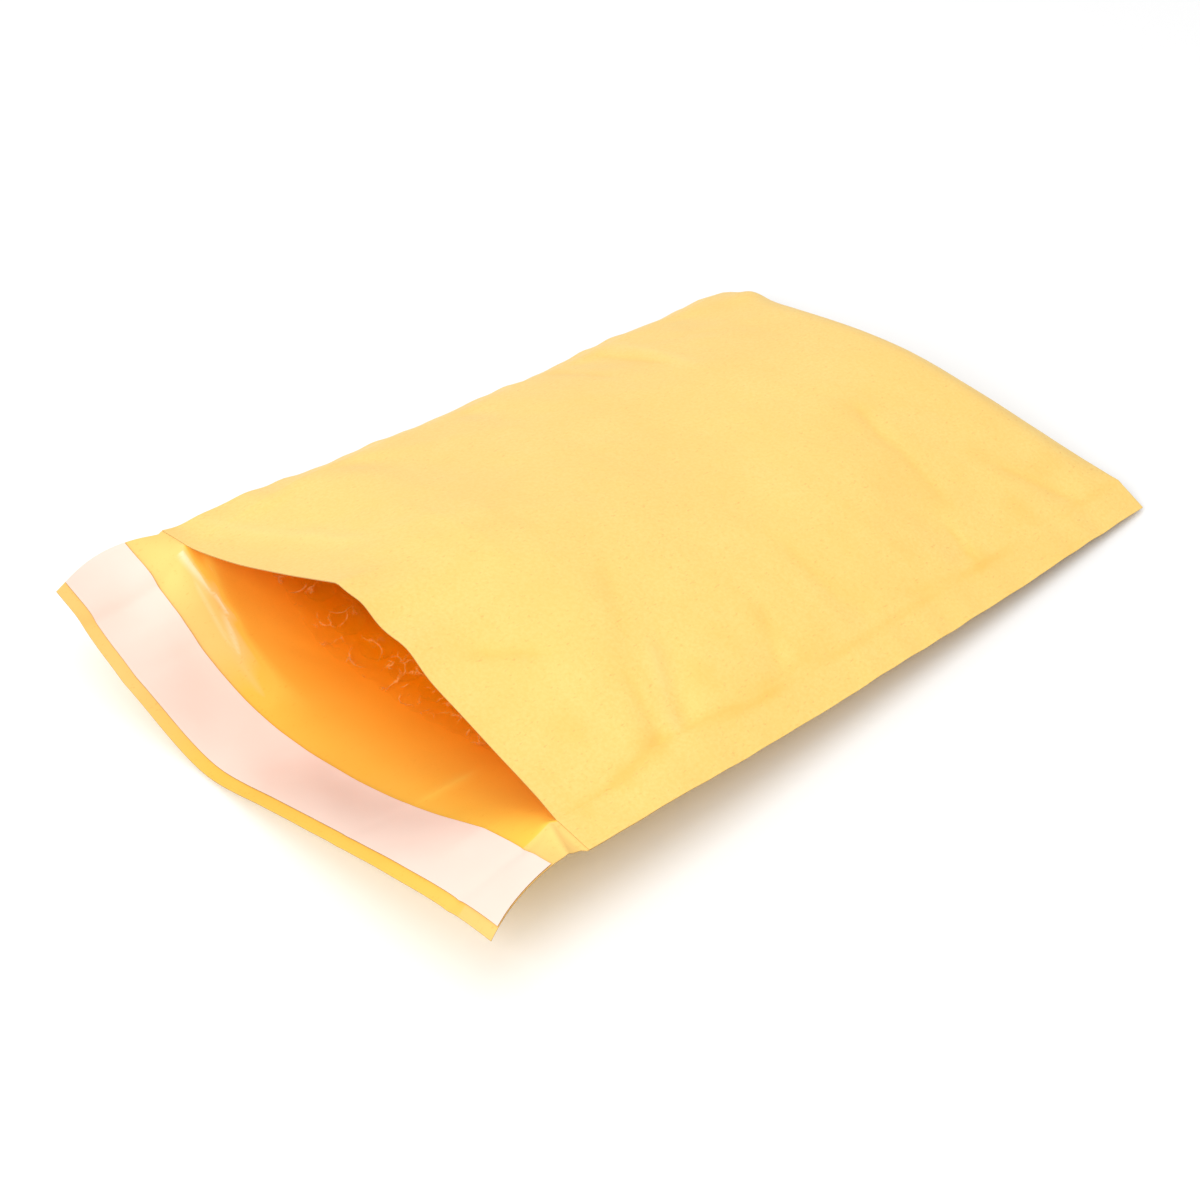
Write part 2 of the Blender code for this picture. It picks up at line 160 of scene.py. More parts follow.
# Soft creases of the front panel: start (s, y), end (s, y), height, half width
FRONT_CREASES = (
    ((0.1815, -0.0622), (0.1680, -0.0608), -0.00095, 0.0014),
    ((0.1680, -0.0608), (0.1470, -0.0632), -0.00070, 0.0016),
    ((0.1618, -0.0600), (0.1530, -0.0450), 0.00046, 0.0020),
    ((0.1665, -0.0590), (0.1625, -0.0480), -0.00042, 0.0020),
    ((0.1405, -0.0625), (0.1215, -0.0628), -0.00030, 0.0016),
    ((0.1262, -0.0575), (0.1210, -0.0500), -0.00028, 0.0020),
    ((0.1840, -0.0240), (0.1765, -0.0285), -0.00050, 0.0026),
    ((0.1460, -0.0240), (0.1520, -0.0330), -0.00030, 0.0040),
    ((0.1000, -0.0420), (0.1010, -0.0530), -0.00022, 0.0026),
    ((0.0418, -0.0140), (0.0452, -0.0225), -0.00040, 0.0026),
    ((0.0455, -0.0290), (0.0490, -0.0440), -0.00032, 0.0024),
    ((0.0565, -0.0540), (0.0592, -0.0655), -0.00040, 0.0012),
    ((0.0820, -0.0630), (0.0600, -0.0660), -0.00030, 0.0014),
    ((0.0518, 0.0630), (0.0535, 0.0380), 0.00034, 0.0030),
    ((0.0600, 0.0620), (0.0585, 0.0450), -0.00040, 0.0030),
    ((0.0760, 0.0630), (0.0740, 0.0500), -0.00035, 0.0030),
    ((0.1880, 0.0630), (0.1800, 0.0300), 0.00035, 0.0040),
    ((0.0250, -0.0500), (0.0180, -0.0640), -0.00035, 0.0022),
)

# Soft creases of the back panel and the flap, seen through the mouth
BACK_CREASES = (
    ((0.2000, 0.0610), (0.1982, 0.0480), 0.00085, 0.0013),
    ((0.1960, 0.0570), (0.2020, 0.0410), 0.00055, 0.0016),
    ((0.1960, 0.0450), (0.1900, 0.0350), -0.00030, 0.0030),
    ((0.2034, -0.0280), (0.1960, -0.0285), 0.00022, 0.0018),
    ((0.2000, -0.0620), (0.2085, -0.0650), 0.00035, 0.0010),
    ((0.2000, 0.0620), (0.2085, 0.0668), 0.00030, 0.0010),
    ((0.2024, -0.0640), (0.2052, -0.0722), 0.00070, 0.0013),
    ((0.2012, 0.0550), (0.2045, 0.0300), 0.00035, 0.0014),
)
FAINT_CREASES = 34
FAINT_HEIGHT = 0.00008

# Crease heights at which the front panel's painted crease shade and the inner face's painted ridge highlight
# are full
CREASE_PAINT_DEPTH = 0.00070
RIDGE_HIGHLIGHT_HEIGHT = 0.00085

# Values of the inner face's painted shade: at the flap's edge, at its pale corners, which are painted light,
# and over the side seams
EDGE_TONE = 0.15
CORNER_TONE = 0.06
NEAR_SEAM_TONE = 0.05
FAR_SEAM_TONE = 0.055

# Camera fitted to the photograph
CAMERA_EYE = (-0.29940, -0.28700, 0.33477)
CAMERA_TARGET = (-0.01750, -0.00920, 0.01000)
CAMERA_LENS = 64.56

# Studio: soft boxes by name, place, aim, size and watts
SOFT_BOXES = (
    ("key_softbox", (0.90, 1.30, 1.40), (0, 0, 0), (1.6, 1.6), 4.0),
    ("front_softbox", (-1.65, -0.45, 1.40), (-0.05, 0, 0.02), (1.8, 1.4), 34.0),
    ("top_softbox", (-0.35, 0.00, 2.00), (0, 0, 0), (1.4, 1.4), 9.0),
)
WORLD_STRENGTH = 0.50
FLOOR_REACH = 6.0


def mix(a, b, t):
    return a + (b - a) * t


def smooth(q):
    q = np.clip(q, 0.0, 1.0)
    return q * q * (3.0 - 2.0 * q)


def quarter_round(q):
    q = np.clip(q, 0.0, 1.0)
    return np.sqrt(1.0 - (1.0 - q) ** 2)


# Folded envelope

def seam_climb(k, sag):
    return k - sag * k * (1.0 - k)


def seam_edge(s, far):
    """Outer edge of a side seam: distance from the centre line, and height."""
    k = s / POCKET_LENGTH
    lift, sag = (FAR_LIFT, FAR_SAG) if far else (NEAR_LIFT, NEAR_SAG)
    half = POCKET_WIDTH / 2 - MOUTH_DRAW_IN * k ** 2
    height = mix(END_LIFT, lift, seam_climb(k, sag))
    return half, height


def seam_line(s, far):
    """Inner edge of a side seam, where the two panels part."""
    half, height = seam_edge(s, far)
    body_droop, mouth_droop = (FAR_DROOP, FAR_MOUTH_DROOP) if far else (NEAR_DROOP, NEAR_MOUTH_DROOP)
    droop = mix(body_droop, mouth_droop, smooth((s / POCKET_LENGTH - 0.75) / 0.25))
    return half - SEAM_WIDTH * np.cos(droop), height + SEAM_WIDTH * np.sin(droop)


def seam_lines(s):
    """Distances of the near and the far seam line from the centre line."""
    return seam_line(s, False)[0], seam_line(s, True)[0]


def inward_of_seams(s, y):
    """Distance inward from the closer seam line."""
    near, far = seam_lines(s)
    return np.minimum(y + near, far - y)


def across(s, u):
    """Y of the share u of the pocket's width, -1 at the near seam line and +1 at the far one."""
    near, far = seam_lines(s)
    return mix(-near, far, (u + 1) / 2)


def seam_level(s, u):
    _, near = seam_line(s, False)
    _, far = seam_line(s, True)
    return mix(near, far, (u + 1) / 2)


def fold_height(s, u):
    """Height of the closed end's fold line."""
    return seam_level(s, u) + END_CROWN * (1 - u ** 2)


def puckers(s, u):
    """Depth of the gathers that run in from the side seams."""
    total = np.zeros_like(s + u)
    y = across(s, u)
    for rows, far in ((NEAR_PUCKERS, False), (FAR_PUCKERS, True)):
        line, _ = seam_line(s, far)
        inward = line - y if far else y + line
        for station, depth, half_width, reach, lean in rows:
            drift = (s - station + lean * inward) / (half_width + 0.15 * inward)
            fade = np.exp(-(inward / reach) ** 2) * smooth(inward / PUCKER_START)
            total = total + depth * np.exp(-drift ** 2) * fade
    return total


def lip_ripples(s, u):
    """Height of the waves that the bubbles leave in the front panel's lip."""
    fade = np.exp(-((POCKET_LENGTH - s) / LIP_RIPPLE_REACH) ** 2)
    return fade * sum(rise * np.exp(-((u - place) / width) ** 2) for place, rise, width in LIP_RIPPLES)


def sides(u, middle):
    """Shares from a middle line out to the near side and to the far side, each 0 to 1."""
    near = np.clip((middle - u) / (1 + middle), 0, 1)
    far = np.clip((u - middle) / (1 - middle), 0, 1)
    return near, far


def mouth_arch(u):
    """Front panel's shape across the mouth, 1 at its peak."""
    near, far = sides(u, MOUTH_PEAK)
    return np.where(u < MOUTH_PEAK, 1 - near ** 1.2, (1 - far) ** 1.25)


def softened_arch(s, u):
    """Mouth's arch, whose peak is sharp at the lip and soon rounds off behind it."""
    offsets = (-0.16, -0.08, 0.0, 0.08, 0.16)
    room = np.clip(1 - np.abs(u), 0, offsets[-1]) / offsets[-1]
    rounded = sum(mouth_arch(u + offset * room) for offset in offsets) / len(offsets)
    return mix(mouth_arch(u), rounded, smooth((POCKET_LENGTH - s) / ARCH_SOFTENING))


def top_height(s, u):
    """Height of the front panel's inner face."""
    k = s / POCKET_LENGTH
    fold = fold_height(s, u)
    power = mix(1.6, 2.2, smooth(k / 0.4))
    pillow = 1 - np.abs(u) ** power
    toward_mouth = smooth((k - 0.45) / 0.55)
    shape = mix(pillow, softened_arch(s, u), toward_mouth)
    swell = mix(BODY_SWELL, MOUTH_SWELL, toward_mouth) - END_CROWN * (1 - k)
    end = END_SWELL / BODY_SWELL
    opening = mix(quarter_round(s / SHOULDER_LENGTH), quarter_round(s / END_RADIUS), end)
    height = fold - END_CROWN * (1 - u ** 2) * k + swell * shape * opening
    return height + lip_ripples(s, u) - puckers(s, u) * opening


def dish(k, u):
    """Back panel's climb from its low line to the seam lines, 0 to 1."""
    low = MOUTH_LOW_POINT * smooth(k)
    flat = FLAT_SHARE * (1 - smooth((k - 0.50) / 0.45))
    near_power = mix(2.6, 1.75, smooth((k - 0.5) / 0.5))
    far_power = mix(2.6, 2.3, smooth((k - 0.5) / 0.5))
    near, far = sides(u, low)
    near = np.clip((near - flat) / (1 - flat), 0, 1)
    far = np.clip((far - flat) / (1 - flat), 0, 1)
    return np.where(u < low, near ** near_power, far ** far_power)


def bottom_height(s, u):
    """Height of the back panel's inner face."""
    k = s / POCKET_LENGTH
    floor = PAPER_THICKNESS
    rest = floor + (seam_level(s, u) - floor) * dish(k, u)
    return mix(fold_height(s, u), rest, quarter_round(s / BACK_END_RADIUS))


def foreshorten(s, height):
    """How far a rising panel draws back from its flat length."""
    k = s / POCKET_LENGTH
    return 0.55 * k ** 2 * (height - END_LIFT) ** 2 / POCKET_LENGTH


def panel_point(s, u, height):
    """Points of a panel between the seam lines."""
    mouth = height(POCKET_LENGTH, u)
    z = height(s, u)
    x = -s + foreshorten(s, mouth)
    return np.stack([x + 0 * z, across(s, u) + 0 * z, z], -1)


def seam_point(s, share, far):
    """Points of a side seam, share 0 at its outer edge and 1 at the seam line."""
    half, height = seam_edge(s, far)
    line, level = seam_line(s, far)
    sign = 1 if far else -1
    mouth = seam_level(POCKET_LENGTH, sign)
    x = -s + foreshorten(s, mouth)
    y = sign * mix(half, line, share)
    z = mix(height, level, share)
    return np.stack([x + 0 * z, y + 0 * z, z], -1)


def flap_edge_height(v):
    """Height of the flap's outer edge, rounded off at its low point."""
    reach = 0.12
    steps = np.linspace(-reach, reach, 7)[:, None]
    room = np.clip(1 - np.abs(v), 0, reach) / reach
    return np.mean(sharp_edge_height(v + steps * room), axis=0)


def sharp_edge_height(v):
    """Height of the flap's outer edge, v from -1 at the near tip to +1 at the far tip."""
    near, far = sides(v, FLAP_LOW_POINT)
    near_side = FLAP_NEAR_LIFT * (1 - (1 - near ** 1.25) ** 1.9)
    far_side = FLAP_FAR_LIFT * far ** 1.05
    return PAPER_THICKNESS + np.where(v < FLAP_LOW_POINT, near_side, far_side)


def pressed_out(height, v):
    """Heights of the back panel's mouth row without the droop of its seams, which the flap soon loses."""
    out = height
    for sign, edge, rise in ((-1, height[0], FLAP_NEAR_RISE), (1, height[-1], FLAP_FAR_RISE)):
        start = np.interp(sign * FLAP_DISH_SHARE, v, height)
        q = (sign * v - FLAP_DISH_SHARE) / (1 - FLAP_DISH_SHARE)
        out = np.where(q > 0, mix(start, edge + rise, q), out)
    return out


def flap_rows(mouth_row, distances):
    """Upper face of the flap: the back panel's mouth row carried out to the flap's edge."""
    rows = []
    half_near = -mouth_row[0, 1]
    half_far = mouth_row[-1, 1]
    v = np.where(mouth_row[:, 1] < 0, mouth_row[:, 1] / half_near, mouth_row[:, 1] / half_far)
    tip_height = flap_edge_height(v)
    flat_height = pressed_out(mouth_row[:, 2], v)
    for distance in distances:
        f = distance / FLAP_LENGTH
        wave = math.sin(math.pi * f)
        step = FLAP_SIDE_STEP * smooth(f / 0.05)
        near_spread = FLAP_NEAR_SPREAD * f ** 3 - FLAP_NEAR_PINCH * wave - step
        far_spread = FLAP_FAR_SPREAD * f + FLAP_FAR_BULGE * wave - step
        row = mouth_row.copy()
        row[:, 1] += v * np.where(v < 0, near_spread, far_spread)
        leaving = mix(mouth_row[:, 2], flat_height, smooth(f / 0.3))
        row[:, 2] = mix(leaving, tip_height, smooth((f - 0.12) / 0.88))
        row[:, 0] = mouth_row[:, 0] - distance
        rows.append(row)
    return np.array(rows)


# Relief of the paper: waves, bubble print and creases

def rolling(s, y, pitch, seed):
    """Smooth random waves of about the given pitch, mostly between -1 and 1."""
    rng = np.random.default_rng(seed)
    waves = 7
    total = np.zeros_like(s + y)
    for _ in range(waves):
        angle = rng.uniform(0, math.tau)
        pace = math.tau / (pitch * rng.uniform(0.75, 1.40))
        start = rng.uniform(0, math.tau)
        total = total + np.cos(pace * (s * math.cos(angle) + y * math.sin(angle)) + start)
    return total / math.sqrt(waves)


def layered(s, y, waves, seed):
    """Broad and fine waves together, each given by its height and pitch."""
    (broad, broad_pitch), (fine, fine_pitch) = waves
    return broad * rolling(s, y, broad_pitch, seed) + fine * rolling(s, y, fine_pitch, seed + 1)


def bubble_print(s, y):
    """Hexagonal print of the bubbles, 1 over a bubble and -0.5 between bubbles."""
    pace = 4 * math.pi / (math.sqrt(3) * BUBBLE_PITCH)
    total = np.zeros_like(s + y)
    for degrees in (0, 60, 120):
        angle = math.radians(degrees)
        total = total + np.cos(pace * (s * math.cos(angle) + y * math.sin(angle)))
    return total / 3


def crease(s, y, start, end, height, half_width):
    """Height that one soft crease adds, rounded off at its ends."""
    ds, dy = end[0] - start[0], end[1] - start[1]
    length = math.hypot(ds, dy)
    along = ((s - start[0]) * ds + (y - start[1]) * dy) / length
    off = ((s - start[0]) * dy - (y - start[1]) * ds) / length
    past = np.maximum(np.maximum(-along, along - length), 0)
    profile = np.exp(-np.sqrt((off / half_width) ** 2 * 2.2 + 0.06) + 0.245)
    return height * profile * np.exp(-(past / (2.2 * half_width)) ** 2)


def faint_creases(s, y, seed):
    """Faint random creases that handling leaves all over the sheet."""
    rng = np.random.default_rng(seed)
    total = np.zeros_like(s + y)
    for _ in range(FAINT_CREASES):
        start = (rng.uniform(0.015, 0.195), rng.uniform(-0.060, 0.060))
        angle = rng.uniform(0, math.tau)
        length = rng.uniform(0.010, 0.034)
        end = (start[0] + length * math.cos(angle), start[1] + length * math.sin(angle))
        height = FAINT_HEIGHT * rng.uniform(-1.0, 1.0)
        total = total + crease(s, y, start, end, height, rng.uniform(0.0014, 0.0036))
    return total


def seam_relief(s, share, far):
    """Waves of a side seam, largest at its outer edge."""
    seed = 41 if far else 42
    loose = 1.0 - 0.55 * share
    broad_height, short_height = FAR_SEAM_WAVES if far else NEAR_SEAM_WAVES
    broad = broad_height * rolling(s, 0 * s, SEAM_WAVE_PITCH, seed)
    short = short_height * rolling(s, 0 * s, BUBBLE_PITCH, seed + 10)
    return loose * (broad + short) * smooth(s / 0.008)


def seam_groove(s, far):
    """Depth of the line that the sealing bar presses into the front panel."""
    seed = 51 if far else 52
    return SEAM_GROOVE * np.clip(0.75 + 0.35 * rolling(s, 0 * s, 0.045, seed), 0.3, 1.0) * smooth(s / 0.006)


def print_mask(s, y):
    """Where the bubbles press against the paper enough to show."""
    behind_lip = 1 - smooth((s - (POCKET_LENGTH - LINING_RECESS)) / 0.006)
    patchy = np.clip(0.62 + 0.45 * rolling(s, y, 0.055, 5), 0.15, 1.0)
    return behind_lip * smooth((s - 0.006) / 0.010) * patchy


def panel_relief(s, u, creases, seed):
    """Relief of one panel between the seam lines, tied to the seams' waves at its sides."""
    y = across(s, u)
    own = layered(s, y, PANEL_WAVES, seed)
    own = own + PRINT_HEIGHT * bubble_print(s, y) * print_mask(s, y) + faint_creases(s, y, seed + 2)
    for start, end, height, half_width in creases:
        own = own + crease(s, y, start, end, height, half_width)
    held = np.where(u < 0, seam_relief(s + 0 * u, 1.0, False), seam_relief(s + 0 * u, 1.0, True))
    return mix(held, own * smooth(s / 0.012), smooth(inward_of_seams(s, y) / RELIEF_FADE))


# Grids

def pocket_stations():
    fold = [0.0, 0.0003, 0.0008, 0.0016, 0.0028, 0.0044, 0.0064, 0.0088, 0.0115]
    body = np.linspace(0.0145, 0.1860, 122)
    lip = np.linspace(0.1860, POCKET_LENGTH, 14)[1:]
    return np.concatenate([fold, body, lip])


def flap_distances():
    turn = np.linspace(0.0004, LINER_START, 19)[:-1]
    under_liner = np.linspace(LINER_START, LINER_END, 15)
    margin = np.linspace(LINER_END, FLAP_LENGTH, 5)[1:]
    return np.concatenate([turn, under_liner, margin])


def panel_shares():
    even = np.linspace(-1, 1, 113)
    return mix(even, np.sin(even * math.pi / 2), 0.35)


SEAM_SHARES = np.concatenate([[0.0], np.linspace(0.05, 0.95, 12)])


def sheet(height, rows, creases, seed):
    """Points of one panel with its seams, one row per station, with the paper's relief."""
    shares = panel_shares()
    out = []
    for s in rows:
        near = seam_point(s, SEAM_SHARES, False)
        far = seam_point(s, SEAM_SHARES[::-1], True)
        middle = panel_point(s, shares, height)
        near[:, 2] += seam_relief(s, SEAM_SHARES, False)
        far[:, 2] += seam_relief(s, SEAM_SHARES[::-1], True)
        middle[:, 2] += panel_relief(s, shares, creases, seed)
        if height is bottom_height:
            middle[:, 2] = np.maximum(middle[:, 2], PAPER_THICKNESS)
        else:
            middle[0, 2] -= seam_groove(s, False)
            middle[-1, 2] -= seam_groove(s, True)
        out.append(np.concatenate([near, middle, far]))
    return soften_corner(np.array(out))


def soften_corner(grid):
    """Cuts the closed end's far corner short and lets it sag, and lifts the fold beside it."""
    end = np.clip(1 + grid[..., 0] / CORNER_LENGTH, 0, 1)
    edge = np.clip((grid[..., 1] - POCKET_WIDTH / 2 + CORNER_REACH) / CORNER_REACH, 0, 1)
    line, _ = seam_line(0.0, True)
    inner = (grid[..., 1] - CORNER_SAG_START) / (line - CORNER_SAG_START)
    outer = (POCKET_WIDTH / 2 - grid[..., 1]) / (POCKET_WIDTH / 2 - line)
    sag = np.clip(np.minimum(inner, outer), 0, 1) * np.clip(1 + grid[..., 0] / CORNER_SAG_LENGTH, 0, 1)
    bulge = np.exp(-((grid[..., 1] - CORNER_RISE_PLACE) / CORNER_RISE_WIDTH) ** 2)
    grid[..., 0] -= CORNER_CUT * edge * end
    grid[..., 2] += CORNER_RISE * bulge * smooth(end) - CORNER_SAG * sag
    grid[..., 2] = np.maximum(grid[..., 2], PAPER_THICKNESS)
    return grid


def flap_sheet(mouth_row, distances):
    """Upper face of the flap with the back panel's relief carried on."""
    rows = flap_rows(mouth_row, distances)
    for row, distance in zip(rows, distances):
        s = POCKET_LENGTH + distance
        y = row[:, 1]
        fade = smooth(distance / 0.003)
        waves = layered(s, y, FLAP_WAVES, 71)
        lines = sum(crease(s, y, *line) for line in BACK_CREASES)
        start_lines = sum(crease(POCKET_LENGTH, y, *line) for line in BACK_CREASES)
        row[:, 2] += fade * waves + (lines - start_lines)
        row[:, 2] = np.maximum(row[:, 2], PAPER_THICKNESS)
    return rows


def normals(grid):
    """Unit normals of a grid of points, upward where the grid lies flat."""
    along = np.gradient(grid, axis=0)
    over = np.gradient(grid, axis=1)
    normal = np.cross(over, along)
    return normal / np.linalg.norm(normal, axis=-1, keepdims=True)


def ease_mouth(grid):
    """Back panel and flap with the turn between them eased, as soft paper takes it."""
    s = -grid[:, grid.shape[1] // 2, 0]
    weights = np.exp(-((s[:, None] - s[None, :]) / MOUTH_EASE) ** 2) * np.gradient(s)[None, :]
    weights = weights / weights.sum(axis=1, keepdims=True)
    near_mouth = np.exp(-((s - POCKET_LENGTH) / MOUTH_EASE_REACH) ** 4)[:, None]
    share = near_mouth * smooth(inward_of_seams(POCKET_LENGTH, grid[..., 1]) / 0.005)
    for axis in (1, 2):
        grid[..., axis] = mix(grid[..., axis], weights @ grid[..., axis], share)
    return grid


def skin_below(grid):
    """Depth of the paper under a sheet: its drawn skin, and down to the ground where it rests."""
    lift = np.maximum(grid[..., 2:3] - PAPER_THICKNESS, 0)
    return SKIN + (PAPER_THICKNESS - SKIN) * np.exp(-lift / SKIN_GROUND_REACH)


# Meshes

def placed(name, data):
    """New object in the scene."""
    item = bpy.data.objects.new(name, data)
    bpy.context.scene.collection.objects.link(item)
    return item


class Shell:
    """Vertices, faces and one named point value of one mesh."""

    def __init__(self, value_name="painted_light"):
        self.value_name = value_name
        self.points = []
        self.faces = []
        self.values = []
        self.slots = []
        self.slot = 0

    def add(self, points, value=0.0):
        flat = np.asarray(points).reshape(-1, 3)
        start = len(self.points)
        self.points.extend(map(tuple, flat))
        self.values.extend(np.broadcast_to(value, np.asarray(points).shape[:-1]).reshape(-1).tolist())
        return np.arange(start, start + len(flat)).reshape(np.asarray(points).shape[:-1])

    def face(self, *corners):
        ring = [int(c) for c in corners]
        ring = [c for n, c in enumerate(ring) if c != ring[n - 1]]
        if len(ring) > 2:
            self.faces.append(ring)
            self.slots.append(self.slot)

    def grid(self, ids, up):
        rows, columns = ids.shape
        for i in range(rows - 1):
            for j in range(columns - 1):
                ring = [ids[i, j], ids[i, j + 1], ids[i + 1, j + 1], ids[i + 1, j]]
                self.face(*(ring if up else ring[::-1]))

    def band(self, first, second):
        """Faces between two rows of points of equal length."""
        for j in range(len(first) - 1):
            self.face(first[j], first[j + 1], second[j + 1], second[j])

    def build(self, name, materials, sharp_angle=35.0):
        mesh = bpy.data.meshes.new(name)
        mesh.from_pydata([tuple(np.add(p, ORIGIN_SHIFT)) for p in self.points], [], self.faces)
        for material in materials:
            mesh.materials.append(material)
        mesh.polygons.foreach_set("material_index", self.slots)
        mesh.shade_smooth()
        mesh.set_sharp_from_angle(angle=math.radians(sharp_angle))
        values = mesh.attributes.new(self.value_name, "FLOAT", "POINT")
        values.data.foreach_set("value", self.values)
        return placed(name, mesh)


def front_painted_light(s, y):
    """Painted light on the front panel: painted shade, 1 in its deepest creases, with patches of painted
    shade by the near seam and the closed end and a line of it along the near seam line; below 0, painted
    highlight on raised creases.
    """
    total = np.zeros_like(s + y)
    for start, end, height, half_width in FRONT_CREASES:
        total = total - crease(s, y, start, end, height, 0.85 * half_width) / CREASE_PAINT_DEPTH
    # Patches of painted shade by the near seam and at the closed end
    near_side_shade = np.clip(rolling(s, y, 0.015, 61), 0, 2) * smooth((-0.022 - y) / 0.034)
    closed_end_shade = np.clip(rolling(s, y, 0.022, 62), 0, 2) * smooth((0.090 - s) / 0.070)
    total = total + 0.30 * near_side_shade * (1 - smooth((-0.0650 - y) / 0.002)) + 0.16 * closed_end_shade
    # Painted shade along the near seam line
    line_shade = 0.35 + 0.30 * rolling(s, 0 * s, 0.03, 63)
    seam_line_shade = np.exp(-((y + seam_line(s, False)[0]) / 0.0011) ** 2) * line_shade
    return np.clip(total + np.clip(seam_line_shade, 0, 1), -0.6, 1.0)


def inside_painted_shade(grid):
    """Painted shade of an inner face: 1 far inside, less toward the flap's edge, least at its corners, which
    are painted light, and 0 on raised creases, which are painted highlight.
    """
    inward = grid[..., 0] + POCKET_LENGTH
    from_edge = smooth((inward + 0.030) / 0.075)
    # Pale corners by the mouth: painted light
    far_corner = smooth((grid[..., 1] - 0.014) / 0.032) * smooth((0.0036 - inward) / 0.0040)
    near_corner = smooth((-0.045 - grid[..., 1]) / 0.025) * smooth((0.004 - inward) / 0.008)
    corner_light = np.maximum(far_corner, 0.35 * near_corner)
    ridge_highlight = np.zeros_like(inward)
    # Raised creases: painted highlight
    for line in BACK_CREASES:
        ridge_highlight = np.maximum(ridge_highlight, crease(-grid[..., 0], grid[..., 1], *line) / RIDGE_HIGHLIGHT_HEIGHT)
    tone = mix(EDGE_TONE + (1 - EDGE_TONE) * from_edge, CORNER_TONE, corner_light)
    return mix(tone, 0.0, np.clip(1.2 * ridge_highlight, 0, 1))


def paper_envelope(outside, inside, edge):
    """Front and back panels, side seams and flap as one folded sheet."""
    rows = pocket_stations()
    front = sheet(top_height, rows, FRONT_CREASES, 11)
    back = sheet(bottom_height, rows, BACK_CREASES, 21)
    flap = flap_sheet(back[-1], flap_distances())
    whole_back = ease_mouth(np.concatenate([back, flap]))
    flap = whole_back[len(rows):]
    front_outer = front + SKIN * normals(front)
    back_outer = whole_back - skin_below(whole_back) * normals(whole_back)
    fold_row = front[0] + np.array([SKIN, 0, 0])

    shell = Shell()
    last = len(rows) - 1
    first_col = len(SEAM_SHARES)
    last_col = whole_back.shape[1] - first_col - 1
    fold_ids = shell.add(fold_row)
    front_y = front[1:, :, 1]
    # Painted shade and painted highlight of the front panel, carried as a point value
    front_light_values = front_painted_light(rows[1:, None] + 0 * front_y, front_y)
    top = np.vstack([fold_ids, shell.add(front_outer[1:], front_light_values)])
    under = np.vstack([fold_ids, shell.add(back_outer[1:])])
    inner_grid = whole_back[:, first_col:last_col + 1]
    # Painted shade and painted highlight of the inner faces, carried as a point value
    inner_back = shell.add(inner_grid, inside_painted_shade(inner_grid))
    inner_front = inner_back[:last + 1].copy()
    ceiling = front[1:, first_col + 1:last_col]
    inner_front[1:, 1:-1] = shell.add(ceiling, inside_painted_shade(ceiling))

    # The flap's upper face also covers the seams, beyond the mouth
    near_seam = shell.add(whole_back[last:, :first_col], NEAR_SEAM_TONE)
    far_seam = shell.add(whole_back[last:, last_col + 1:], FAR_SEAM_TONE)
    flap_top = np.hstack([near_seam, inner_back[last:], far_seam])

    shell.grid(top, True)
    shell.grid(under, False)
    shell.slot = 1
    shell.grid(inner_front, False)
    shell.grid(inner_back[:last + 1], True)
    shell.grid(flap_top, True)
    shell.slot = 2
    shell.band(top[last], np.hstack([near_seam[0], inner_front[last], far_seam[0]]))
    shell.band(flap_top[-1], under[-1])
    for column, order in ((0, -1), (-1, 1)):
        upper = np.concatenate([top[:, column], flap_top[:, column]])
        lower = np.concatenate([under[:last + 1, column], under[last:, column]])
        shell.band(*(upper, lower)[::order])
    return shell.build("kraft_envelope", (outside, inside, edge)), flap


def trimmed(rows, inset):
    """Rows of the flap's upper face cut short by an inset at each side."""
    out = []
    for row in rows:
        steps = np.linalg.norm(np.diff(row, axis=0), axis=1)
        run = np.concatenate([[0], np.cumsum(steps)])
        marks = np.linspace(inset, run[-1] - inset, 150)
        out.append(np.stack([np.interp(marks, run, row[:, c]) for c in range(3)], -1))
    return np.array(out)


def strip_on_flap(name, flap, start, end, inset, lift, face, edge):
    """Thin strip along the flap between two distances from the mouth."""
    distances = flap_distances()
    keep = (distances > start - 1e-6) & (distances < end + 1e-6)
    base = trimmed(flap[keep], inset)
    up = normals(base)
    shell = Shell()
    under = shell.add(base + lift * up)
    top = shell.add(base + (lift + STRIP_THICKNESS) * up)
    shell.grid(top, True)
    shell.grid(under, False)
    shell.slot = 1
    shell.band(under[0], top[0])
    shell.band(top[-1], under[-1])
    shell.band(top[:, 0], under[:, 0])
    shell.band(under[:, -1], top[:, -1])
    return shell.build(name, (face, edge))


# Bubble film

def bubble_rows():
    """Distances from the closed end of the rows of bubbles."""
    count = int((FRONT_ROW - FILM_END - BUBBLE_PITCH) / ROW_STEP)
    return [FRONT_ROW - n * ROW_STEP for n in range(count + 1)]


def bubble_rim(s, y):
    """Raised rims of the flattened bubbles near the film's front edge."""
    total = np.zeros_like(s + y)
    for n in (-2, -1, 0, 1):
        row = FRONT_ROW - n * ROW_STEP
        shift = BUBBLE_PITCH / 2 * (n % 2)
        dy = (y - shift) / BUBBLE_PITCH
        dy = (dy - np.round(dy)) * BUBBLE_PITCH
        r = np.hypot(s - row, dy)
        total = total + np.exp(-((r - BUBBLE_RADIUS * 0.92) / 0.00042) ** 2)
    return np.clip(total, 0, 1)


def film_frill(s, y):
    """Crinkles of the film's front edge, where the bubbles are cut and flat."""
    near_edge = smooth((s - FRILL_START) / (FRILL_WIDTH * 0.5))
    patchy = np.clip(0.5 + 0.8 * rolling(s, y, 0.009, 83), 0, 1)
    rims = RIM_HEIGHT * bubble_rim(s, y) * patchy
    return near_edge * (layered(s, y, FRILL_WAVES, 81) + rims)


